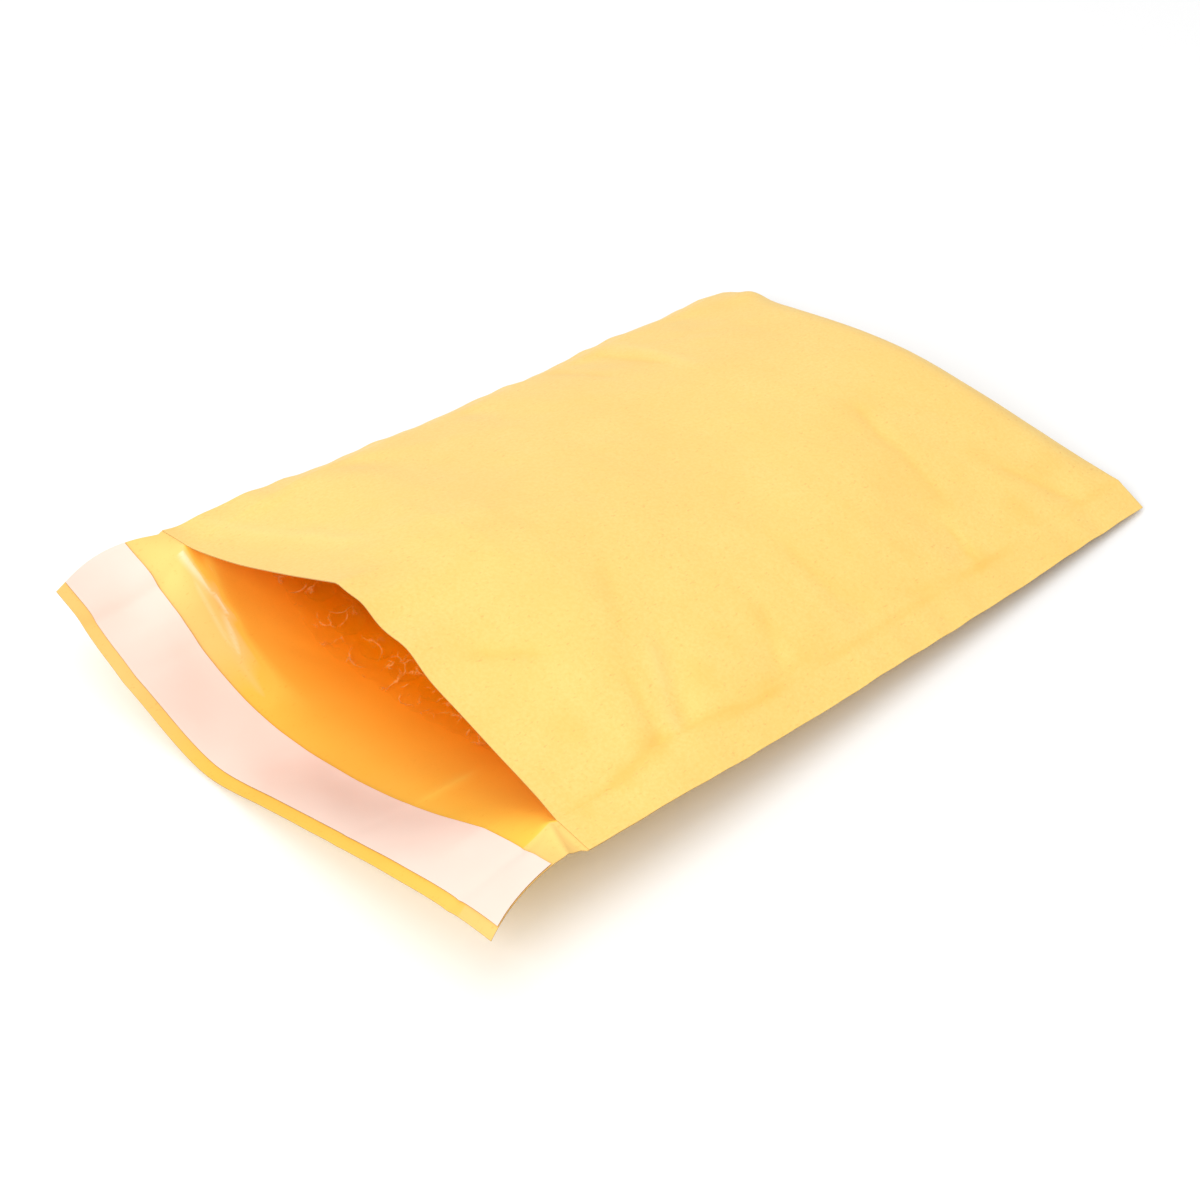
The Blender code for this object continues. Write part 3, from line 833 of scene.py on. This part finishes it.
def film_standoff(s, inward):
    """Distance from the paper to the film's inner face."""
    open_part = mix(FILM_STANDOFF, FILM_EDGE_STANDOFF, smooth((s - FRILL_START) / FRILL_WIDTH))
    return mix(FILM_EDGE_STANDOFF, open_part, smooth(inward / 0.010))


def film_shares(s):
    """Shares across the pocket, from side to side of the film."""
    near, far = seam_lines(s)
    width = near + far
    margin = 2 * FILM_SIDE_GAP / width
    return np.linspace(-1, 1, FILM_COLUMNS) * (1 - margin)


def film_sheet(rows, height, side):
    """Points of one sheet of the film. Side is +1 over the back panel and -1 under the front one."""
    out = []
    for s in rows:
        u = film_shares(s)
        points = panel_point(s, u, height)
        y = points[:, 1]
        room = np.maximum(top_height(s, u) - bottom_height(s, u), 0)
        stand = np.minimum(film_standoff(s, inward_of_seams(s, y)), room * 0.42)
        relief = film_frill(s, y) * np.clip(room / 0.004, 0, 1)
        points[:, 2] += side * (stand + relief)
        out.append(points)
    return np.array(out)


def film_stations():
    body = np.linspace(FILM_END, FRILL_START, 96)
    frill = np.linspace(FRILL_START, FILM_FRONT, 30)[1:]
    return np.concatenate([body, frill])


def film_pocket(material):
    """Bag of film inside the paper, open at the mouth."""
    rows = film_stations()
    lower = film_sheet(rows, bottom_height, 1)
    upper = film_sheet(rows, top_height, -1)
    wander = layered(0.0, lower[-1, :, 1], FILM_EDGE_WAVES, 91)
    share = smooth((rows - rows[-1] + FRILL_WIDTH) / FRILL_WIDTH)[:, None]
    for grid in (lower, upper):
        grid[..., 0] -= share * wander
    frill = smooth((rows - (FILM_FRONT - FRILL_WIDTH * 1.1)) / (FRILL_WIDTH * 0.45))[:, None]
    shell = Shell("crinkle")
    low_ids = shell.add(lower, frill)
    high_ids = shell.add(upper, frill)
    shell.grid(low_ids, True)
    shell.grid(high_ids, False)
    shell.band(high_ids[0], low_ids[0])
    shell.band(high_ids[:, -1], low_ids[:, -1])
    shell.band(low_ids[:, 0], high_ids[:, 0])
    return shell.build("bubble_film_pocket", (material,), 60.0)


def bubble_carrier():
    """Loose points under and over the film, one for each bubble, with the way it bulges."""
    points = []
    ways = []
    step = BUBBLE_PITCH
    for n, s in enumerate(bubble_rows()):
        near, far = seam_lines(s)
        first = math.ceil((-near + step) / step) * step + step / 2 * (n % 2)
        places = np.arange(first, far - step, step)
        u = 2 * (places + near) / (far + near) - 1
        for height, side in ((bottom_height, 1), (top_height, -1)):
            base = panel_point(s, u, height)
            ahead = panel_point(s - 0.002, u, height) - panel_point(s + 0.002, u, height)
            over = panel_point(s, u + 0.03, height) - panel_point(s, u - 0.03, height)
            way = np.cross(ahead, over)
            way = -side * way / np.linalg.norm(way, axis=-1, keepdims=True)
            points.extend((base - FILM_STANDOFF * way).tolist())
            ways.extend(way.tolist())
    return points, ways


def open_sockets(tree, taken, given):
    """Named sockets of a node group, each with its kind, and its input and output nodes."""
    for way, sockets in (("INPUT", taken), ("OUTPUT", given)):
        for name, kind in sockets.items():
            tree.interface.new_socket(name, in_out=way, socket_type="NodeSocket" + kind)
    return tree.nodes.new("NodeGroupInput"), tree.nodes.new("NodeGroupOutput")


def bubble_tree():
    """Geometry nodes that set one dome on each carrier point."""
    tree = bpy.data.node_groups.new("Air bubbles", "GeometryNodeTree")
    taken = {
        "Geometry": "Geometry",
        "Bubble Radius": "Float",
        "Bubble Height": "Float",
        "Size Spread": "Float",
        "Seed": "Int",
        "Material": "Material",
    }
    inputs, output = open_sockets(tree, taken, {"Geometry": "Geometry"})
    nodes = Nodes(tree)
    add = nodes.add
    link = nodes.join

    ball = add("GeometryNodeMeshUVSphere")
    ball.inputs["Segments"].default_value = 12
    ball.inputs["Rings"].default_value = 8
    ball.inputs["Radius"].default_value = 1.0
    place = add("GeometryNodeInputPosition")
    split = add("ShaderNodeSeparateXYZ")
    below = add("FunctionNodeCompare", operation="LESS_THAN")
    below.inputs["B"].default_value = -0.01
    cut = add("GeometryNodeDeleteGeometry")
    link(place.outputs["Position"], split.inputs["Vector"])
    link(split.outputs["Z"], below.inputs["A"])
    link(ball.outputs["Mesh"], cut.inputs["Geometry"])
    link(below.outputs["Result"], cut.inputs["Selection"])

    size = add("ShaderNodeCombineXYZ")
    for axis in ("X", "Y"):
        link(inputs.outputs["Bubble Radius"], size.inputs[axis])
    link(inputs.outputs["Bubble Height"], size.inputs["Z"])
    dome = add("GeometryNodeTransform")
    link(cut.outputs["Geometry"], dome.inputs["Geometry"])
    link(size.outputs["Vector"], dome.inputs["Scale"])

    way = add("GeometryNodeInputNamedAttribute", data_type="FLOAT_VECTOR")
    way.inputs["Name"].default_value = "way"
    turn = add("FunctionNodeAlignRotationToVector", axis="Z")
    link(way.outputs["Attribute"], turn.inputs["Vector"])

    smallest = add("ShaderNodeMath", operation="SUBTRACT")
    smallest.inputs[0].default_value = 1.0
    link(inputs.outputs["Size Spread"], smallest.inputs[1])
    spread = add("FunctionNodeRandomValue", data_type="FLOAT")
    spread.inputs["Max"].default_value = 1.0
    link(smallest.outputs["Value"], spread.inputs["Min"])
    link(inputs.outputs["Seed"], spread.inputs["Seed"])

    put = add("GeometryNodeInstanceOnPoints")
    link(inputs.outputs["Geometry"], put.inputs["Points"])
    link(dome.outputs["Geometry"], put.inputs["Instance"])
    link(turn.outputs["Rotation"], put.inputs["Rotation"])
    link(spread.outputs["Value"], put.inputs["Scale"])
    real = add("GeometryNodeRealizeInstances")
    soft = add("GeometryNodeSetShadeSmooth")
    finish = add("GeometryNodeSetMaterial")
    link(put.outputs["Instances"], real.inputs["Geometry"])
    link(real.outputs["Geometry"], soft.inputs["Geometry"])
    link(soft.outputs["Geometry"], finish.inputs["Geometry"])
    link(inputs.outputs["Material"], finish.inputs["Material"])
    link(finish.outputs["Geometry"], output.inputs["Geometry"])
    return tree


def air_bubbles(material):
    """Domes of air that stand between the film and the paper."""
    points, ways = bubble_carrier()
    carrier_mesh = bpy.data.meshes.new("bubble_carrier")
    carrier_mesh.from_pydata([tuple(np.add(p, ORIGIN_SHIFT)) for p in points], [], [])
    way = carrier_mesh.attributes.new("way", "FLOAT_VECTOR", "POINT")
    way.data.foreach_set("vector", [c for w in ways for c in w])
    carrier = placed("bubble_carrier", carrier_mesh)

    modifier = carrier.modifiers.new("Bubbles", "NODES")
    modifier.node_group = bubble_tree()
    values = {
        "Bubble Radius": BUBBLE_RADIUS,
        "Bubble Height": BUBBLE_HEIGHT,
        "Size Spread": 0.06,
        "Seed": 7,
        "Material": material,
    }
    for socket in modifier.node_group.interface.items_tree:
        if socket.in_out == "INPUT" and socket.name in values:
            modifier[socket.identifier] = values[socket.name]

    seen = carrier.evaluated_get(bpy.context.evaluated_depsgraph_get())
    mesh = bpy.data.meshes.new_from_object(seen)
    mesh.name = "air_bubbles"
    bpy.data.objects.remove(carrier, do_unlink=True)
    return placed("air_bubbles", mesh)


# Materials

class Nodes:
    """Short ways to add and join the nodes of one tree."""

    def __init__(self, tree):
        self.tree = tree

    def add(self, kind, **values):
        node = self.tree.nodes.new(kind)
        for name, value in values.items():
            setattr(node, name, value)
        return node

    def join(self, out, into):
        self.tree.links.new(out, into)

    def noise(self, vector, scale, detail=2.0, roughness=0.5):
        node = self.add("ShaderNodeTexNoise")
        node.inputs["Scale"].default_value = scale
        node.inputs["Detail"].default_value = detail
        node.inputs["Roughness"].default_value = roughness
        self.join(vector, node.inputs["Vector"])
        return node.outputs["Fac"]

    def ramp(self, value, low, high, out_low=0.0, out_high=1.0):
        node = self.add("ShaderNodeMapRange")
        node.inputs["From Min"].default_value = low
        node.inputs["From Max"].default_value = high
        node.inputs["To Min"].default_value = out_low
        node.inputs["To Max"].default_value = out_high
        self.join(value, node.inputs["Value"])
        return node.outputs["Result"]

    def blend(self, factor, first, second, kind="RGBA"):
        """Mix of two colours or, with the kind VECTOR, of two vectors."""
        node = self.add("ShaderNodeMix", data_type=kind)
        for value, name in ((first, "A"), (second, "B")):
            socket = next(i for i in node.inputs if i.name == name and i.type == kind)
            if isinstance(value, tuple):
                socket.default_value = (*value, 1)
            else:
                self.join(value, socket)
        if isinstance(factor, float):
            node.inputs["Factor"].default_value = factor
        else:
            self.join(factor, node.inputs["Factor"])
        return next(o for o in node.outputs if o.type == kind)

    def math(self, operation, first, second):
        node = self.add("ShaderNodeMath", operation=operation)
        self.join(first, node.inputs[0])
        if isinstance(second, float):
            node.inputs[1].default_value = second
        else:
            self.join(second, node.inputs[1])
        return node.outputs["Value"]

    def stretched(self, vector, scale):
        node = self.add("ShaderNodeMapping")
        node.inputs["Scale"].default_value = scale
        self.join(vector, node.inputs["Vector"])
        return node.outputs["Vector"]


def paper_grain_group():
    """Fibres and cloudy formation of paper, shared by the kraft paper and the release liner."""
    tree = bpy.data.node_groups.new("Paper grain", "ShaderNodeTree")
    given = dict.fromkeys(("Flecks", "Clouds", "Grit", "Height"), "Float")
    inputs, output = open_sockets(tree, {"Vector": "Vector", "Fleck Amount": "Float"}, given)
    nodes = Nodes(tree)
    vector = inputs.outputs["Vector"]

    fibres = nodes.noise(nodes.stretched(vector, (0.38, 1.0, 1.0)), 2600.0, 3.0, 0.62)
    flecks = nodes.noise(nodes.stretched(vector, (0.5, 1.0, 1.0)), 1500.0, 2.0, 0.5)
    amount = nodes.math("MULTIPLY", nodes.ramp(flecks, 0.62, 0.80), inputs.outputs["Fleck Amount"])
    clouds = nodes.noise(vector, 55.0, 3.0, 0.55)
    grit = nodes.noise(vector, 1150.0, 2.0, 0.6)
    nodes.join(amount, output.inputs["Flecks"])
    nodes.join(nodes.ramp(grit, 0.35, 0.65), output.inputs["Grit"])
    nodes.join(nodes.ramp(clouds, 0.32, 0.68), output.inputs["Clouds"])
    nodes.join(fibres, output.inputs["Height"])
    return tree


def painted_glints_group():
    """Painted glints of crinkled bubble film: fine strokes and broken rings."""
    tree = bpy.data.node_groups.new("Painted film glints", "ShaderNodeTree")
    inputs, output = open_sockets(tree, {"Vector": "Vector", "Amount": "Float"}, {"Painted Glints": "Float"})
    nodes = Nodes(tree)
    vector = inputs.outputs["Vector"]

    net = nodes.add("ShaderNodeTexVoronoi", feature="DISTANCE_TO_EDGE")
    net.inputs["Scale"].default_value = 210.0
    bend = nodes.add("ShaderNodeTexNoise")
    bend.inputs["Scale"].default_value = 330.0
    nodes.join(vector, bend.inputs["Vector"])
    nodes.join(nodes.blend(0.0035, vector, bend.outputs["Color"], "VECTOR"), net.inputs["Vector"])
    lines = nodes.ramp(net.outputs["Distance"], 0.01, 0.06, 1.0, 0.0)
    line_patches = nodes.ramp(nodes.noise(vector, 210.0, 2.0, 0.5), 0.50, 0.62)

    cells = nodes.add("ShaderNodeTexVoronoi", feature="F1")
    cells.inputs["Scale"].default_value = 1 / BUBBLE_PITCH
    cells.inputs["Randomness"].default_value = 0.45
    nodes.join(vector, cells.inputs["Vector"])
    off = nodes.math("SUBTRACT", cells.outputs["Distance"], 0.40)
    rings = nodes.ramp(nodes.math("ABSOLUTE", off, 0.0), 0.004, 0.026, 1.0, 0.0)
    ring_patches = nodes.ramp(nodes.noise(vector, 260.0, 2.0, 0.5), 0.50, 0.60)

    both = nodes.math("MAXIMUM", nodes.math("MULTIPLY", lines, line_patches),
                      nodes.math("MULTIPLY", rings, ring_patches))
    nodes.join(nodes.math("MULTIPLY", both, inputs.outputs["Amount"]), output.inputs["Painted Glints"])
    return tree


def new_material(name):
    made = bpy.data.materials.new(name)
    made.use_nodes = True
    nodes = Nodes(made.node_tree)
    return made, nodes, made.node_tree.nodes["Principled BSDF"]


def grain_for(nodes, grain, fleck_amount):
    place = nodes.add("ShaderNodeTexCoord")
    group = nodes.add("ShaderNodeGroup", node_tree=grain)
    group.inputs["Fleck Amount"].default_value = fleck_amount
    nodes.join(place.outputs["Object"], group.inputs["Vector"])
    return group


def gloss(shader, roughness, specular):
    shader.inputs["Roughness"].default_value = roughness
    shader.inputs["Specular IOR Level"].default_value = specular


def bump_from(nodes, height, distance, strength, shader):
    bump = nodes.add("ShaderNodeBump")
    bump.inputs["Distance"].default_value = distance
    bump.inputs["Strength"].default_value = strength
    nodes.join(height, bump.inputs["Height"])
    nodes.join(bump.outputs["Normal"], shader.inputs["Normal"])


def kraft_outside(grain):
    """Golden kraft paper, with painted shade in its creases, by the near seam, at the closed end and along
    the near seam line, and painted highlight on its raised creases.
    """
    made, nodes, shader = new_material("kraft_outside")
    group = grain_for(nodes, grain, 0.60)
    tone = nodes.blend(group.outputs["Clouds"], (0.985, 0.668, 0.186), (0.990, 0.696, 0.208))
    gritty = nodes.blend(nodes.math("MULTIPLY", group.outputs["Grit"], 0.50), tone, (0.985, 0.600, 0.130))
    crease_paint = nodes.add("ShaderNodeAttribute", attribute_name="painted_light").outputs["Fac"]
    # Painted highlight: paler where the front panel's creases rise
    ridge_highlighted = nodes.blend(nodes.ramp(crease_paint, -0.6, 0.0, 0.5, 0.0), gritty, (0.990, 0.720, 0.245))
    # Painted shade: deeper orange in creases, by the near seam, at the closed end and along the near seam
    # line
    crease_shaded = nodes.blend(nodes.ramp(crease_paint, 0.0, 1.0, 0.0, 0.50), ridge_highlighted, (0.980, 0.520, 0.075))
    flecked = nodes.blend(group.outputs["Flecks"], crease_shaded, (0.860, 0.440, 0.100))
    nodes.join(flecked, shader.inputs["Base Color"])
    gloss(shader, 0.50, 0.50)
    bump_from(nodes, group.outputs["Height"], 0.00006, 0.55, shader)
    return made


def kraft_inside(grain):
    """Inner face of the kraft paper, golden on the flap and deeper orange into the pocket as painted shade,
    with pale streaks of painted highlight on its corners and raised creases.
    """
    made, nodes, shader = new_material("kraft_inside")
    group = grain_for(nodes, grain, 0.30)
    depth = nodes.add("ShaderNodeAttribute", attribute_name="painted_light").outputs["Fac"]
    edge = nodes.blend(group.outputs["Clouds"], (0.985, 0.620, 0.186), (0.990, 0.646, 0.206))
    flap_tone = nodes.blend(group.outputs["Clouds"], (0.985, 0.580, 0.080), (0.990, 0.605, 0.092))
    # Pale streaks: painted highlight
    highlighted = nodes.blend(nodes.ramp(depth, 0.0, 0.045), (0.990, 0.800, 0.460), edge)
    shallow = nodes.blend(nodes.ramp(depth, 0.06, 0.17), highlighted, flap_tone)
    # Deeper orange far into the pocket: painted shade
    pocket_shade = nodes.blend(nodes.ramp(depth, 0.26, 0.84), shallow, (1.000, 0.272, 0.001))
    flecked = nodes.blend(group.outputs["Flecks"], pocket_shade, (0.860, 0.330, 0.030))
    nodes.join(flecked, shader.inputs["Base Color"])
    gloss(shader, 0.60, 0.015)
    bump_from(nodes, group.outputs["Height"], 0.00006, 0.45, shader)
    return made


def cut_edge(name, colour, specular):
    """Cut edge of a paper, darker than its faces: partly the edge's own colour and partly painted shade
    along the edge.
    """
    made, _, shader = new_material(name)
    shader.inputs["Base Color"].default_value = (*colour, 1)
    gloss(shader, 0.80, specular)
    return made


def release_paper(grain):
    """Smooth siliconised release paper, pale pink cream."""
    made, nodes, shader = new_material("release_paper")
    group = grain_for(nodes, grain, 0.05)
    tone = nodes.blend(group.outputs["Clouds"], (0.970, 0.748, 0.634), (0.980, 0.776, 0.666))
    nodes.join(tone, shader.inputs["Base Color"])
    gloss(shader, 0.42, 0.18)
    bump_from(nodes, group.outputs["Height"], 0.00002, 0.35, shader)
    return made


def hot_melt():
    """Tacky pale adhesive."""
    made, nodes, shader = new_material("hot_melt")
    place = nodes.add("ShaderNodeTexCoord").outputs["Object"]
    smears = nodes.noise(nodes.stretched(place, (3.0, 0.5, 1.0)), 240.0, 3.0, 0.6)
    tone = nodes.blend(nodes.ramp(smears, 0.3, 0.7), (0.90, 0.78, 0.52), (0.95, 0.86, 0.66))
    nodes.join(tone, shader.inputs["Base Color"])
    shader.inputs["Roughness"].default_value = 0.22
    bump_from(nodes, smears, 0.0001, 0.6, shader)
    return made


def clear_film(name, alpha, roughness, painted_glints):
    """Thin clear polyethylene film, with pale strokes of painted glint where it is crinkled."""
    made, nodes, shader = new_material(name)
    place = nodes.add("ShaderNodeTexCoord").outputs["Object"]
    haze = nodes.noise(place, 300.0, 3.0, 0.6)
    # The clear film's haze takes the pocket's deep orange: painted shade of the light in the pocket
    tone = nodes.blend(nodes.ramp(haze, 0.35, 0.65), (0.99, 0.33, 0.005), (0.995, 0.38, 0.012))
    cover = nodes.ramp(haze, 0.3, 0.7, alpha - 0.04, alpha + 0.04)
    group = nodes.add("ShaderNodeGroup", node_tree=painted_glints)
    crinkle = nodes.add("ShaderNodeAttribute", attribute_name="crinkle").outputs["Fac"]
    nodes.join(place, group.inputs["Vector"])
    nodes.join(crinkle, group.inputs["Amount"])
    # Painted glints: paler and less clear along the strokes
    glint_paint = nodes.math("MULTIPLY", group.outputs["Painted Glints"], 0.44)
    nodes.join(nodes.blend(glint_paint, tone, (0.99, 0.62, 0.30)), shader.inputs["Base Color"])
    nodes.join(nodes.math("ADD", cover, glint_paint), shader.inputs["Alpha"])
    gloss(shader, roughness, 0.24)
    bump_from(nodes, haze, 0.00012, 0.5, shader)
    return made


# Stage

def background_rays(nodes):
    """1 for the rays that show the background: camera, glossy and transmission rays."""
    path = nodes.add("ShaderNodeLightPath")
    mirrored = nodes.math("MAXIMUM", path.outputs["Is Glossy Ray"], path.outputs["Is Transmission Ray"])
    return nodes.math("MAXIMUM", path.outputs["Is Camera Ray"], mirrored)


def white_ground():
    """White floor that keeps the mailer's shadow. The light it sends back to the mailer is a little less."""
    made, nodes, shader = new_material("white_ground")
    tone = nodes.blend(background_rays(nodes), (0.80, 0.80, 0.80), (1.00, 1.00, 1.00))
    nodes.join(tone, shader.inputs["Base Color"])
    gloss(shader, 1.0, 0.0)
    mesh = bpy.data.meshes.new("white_floor")
    corners = [(x * FLOOR_REACH, y * FLOOR_REACH, 0) for x, y in ((-1, -1), (1, -1), (1, 1), (-1, 1))]
    mesh.from_pydata(corners, [], [(0, 1, 2, 3)])
    mesh.materials.append(made)
    floor = placed("white_floor", mesh)


def studio_world(strength):
    world = bpy.data.worlds.new("studio")
    bpy.context.scene.world = world
    world.use_nodes = True
    nodes = Nodes(world.node_tree)
    sky = world.node_tree.nodes["Background"]
    sky.inputs["Color"].default_value = (1, 1, 1, 1)
    nodes.join(nodes.ramp(background_rays(nodes), 0.0, 1.0, strength, 1.0), sky.inputs["Strength"])


def aimed(name, data, place, aim):
    """Lamp or camera that looks from its place at its aim."""
    item = placed(name, data)
    item.location = place
    item.rotation_euler = (Vector(aim) - Vector(place)).to_track_quat("-Z", "Y").to_euler()
    return item


def soft_box(name, place, aim, size, power):
    lamp = bpy.data.lights.new(name, "AREA")
    lamp.shape = "RECTANGLE"
    lamp.size = size[0]
    lamp.size_y = size[1]
    lamp.energy = power
    aimed(name, lamp, place, aim)


def photo_camera():
    data = bpy.data.cameras.new("photo_camera")
    data.sensor_width = 36.0
    data.lens = CAMERA_LENS
    data.clip_start = 0.01
    bpy.context.scene.camera = aimed("photo_camera", data, CAMERA_EYE, CAMERA_TARGET)


def settle(piece, node):
    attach(piece, "root")
    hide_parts(node)


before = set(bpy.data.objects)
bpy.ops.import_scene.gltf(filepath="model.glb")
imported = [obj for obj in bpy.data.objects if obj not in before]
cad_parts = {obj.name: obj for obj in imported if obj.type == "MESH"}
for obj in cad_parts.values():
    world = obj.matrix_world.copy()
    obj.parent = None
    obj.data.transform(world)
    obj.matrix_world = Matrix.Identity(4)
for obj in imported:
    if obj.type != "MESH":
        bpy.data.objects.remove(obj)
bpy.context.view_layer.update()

# Closed end's fold and the centre line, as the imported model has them
CENTRE_LINE = -0.00009
ORIGIN_SHIFT = (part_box("outer_paper_envelope")[1][0] - PAPER_THICKNESS, CENTRE_LINE, 0.0)

grain = paper_grain_group()
# Kraft cut edge: partly its own darker colour, partly painted shade along the edges
kraft_edge = cut_edge("kraft_edge", (0.600, 0.360, 0.120), 0.20)
envelope, flap = paper_envelope(kraft_outside(grain), kraft_inside(grain), kraft_edge)
settle(envelope, "outer_paper_envelope")

# Painted glints for the film's crinkled edge
painted_glints = painted_glints_group()
film = film_pocket(clear_film("bubble_film", 0.10, 0.17, painted_glints))
settle(film, "bubble_lining")
bubbles = air_bubbles(clear_film("bubble_domes", 0.07, 0.14, painted_glints))
settle(bubbles, "bubble_lining")

melt = hot_melt()
glue = strip_on_flap("adhesive_band", flap, LINER_START + ADHESIVE_MARGIN, LINER_END - ADHESIVE_MARGIN,
                     ADHESIVE_SIDE_INSET, ADHESIVE_LIFT, melt, melt)
settle(glue, "adhesive_strip")
# Dark line along the release liner's edge: painted shade of its step onto the flap
release_edge = cut_edge("release_edge", (0.460, 0.310, 0.200), 0.10)
liner = strip_on_flap("release_liner_strip", flap, LINER_START, LINER_END,
                      LINER_SIDE_INSET, LINER_LIFT, release_paper(grain), release_edge)
settle(liner, "release_liner")

white_ground()
studio_world(WORLD_STRENGTH)
for lamp in SOFT_BOXES:
    soft_box(*lamp)
photo_camera()
bpy.context.scene.view_settings.view_transform = "Standard"
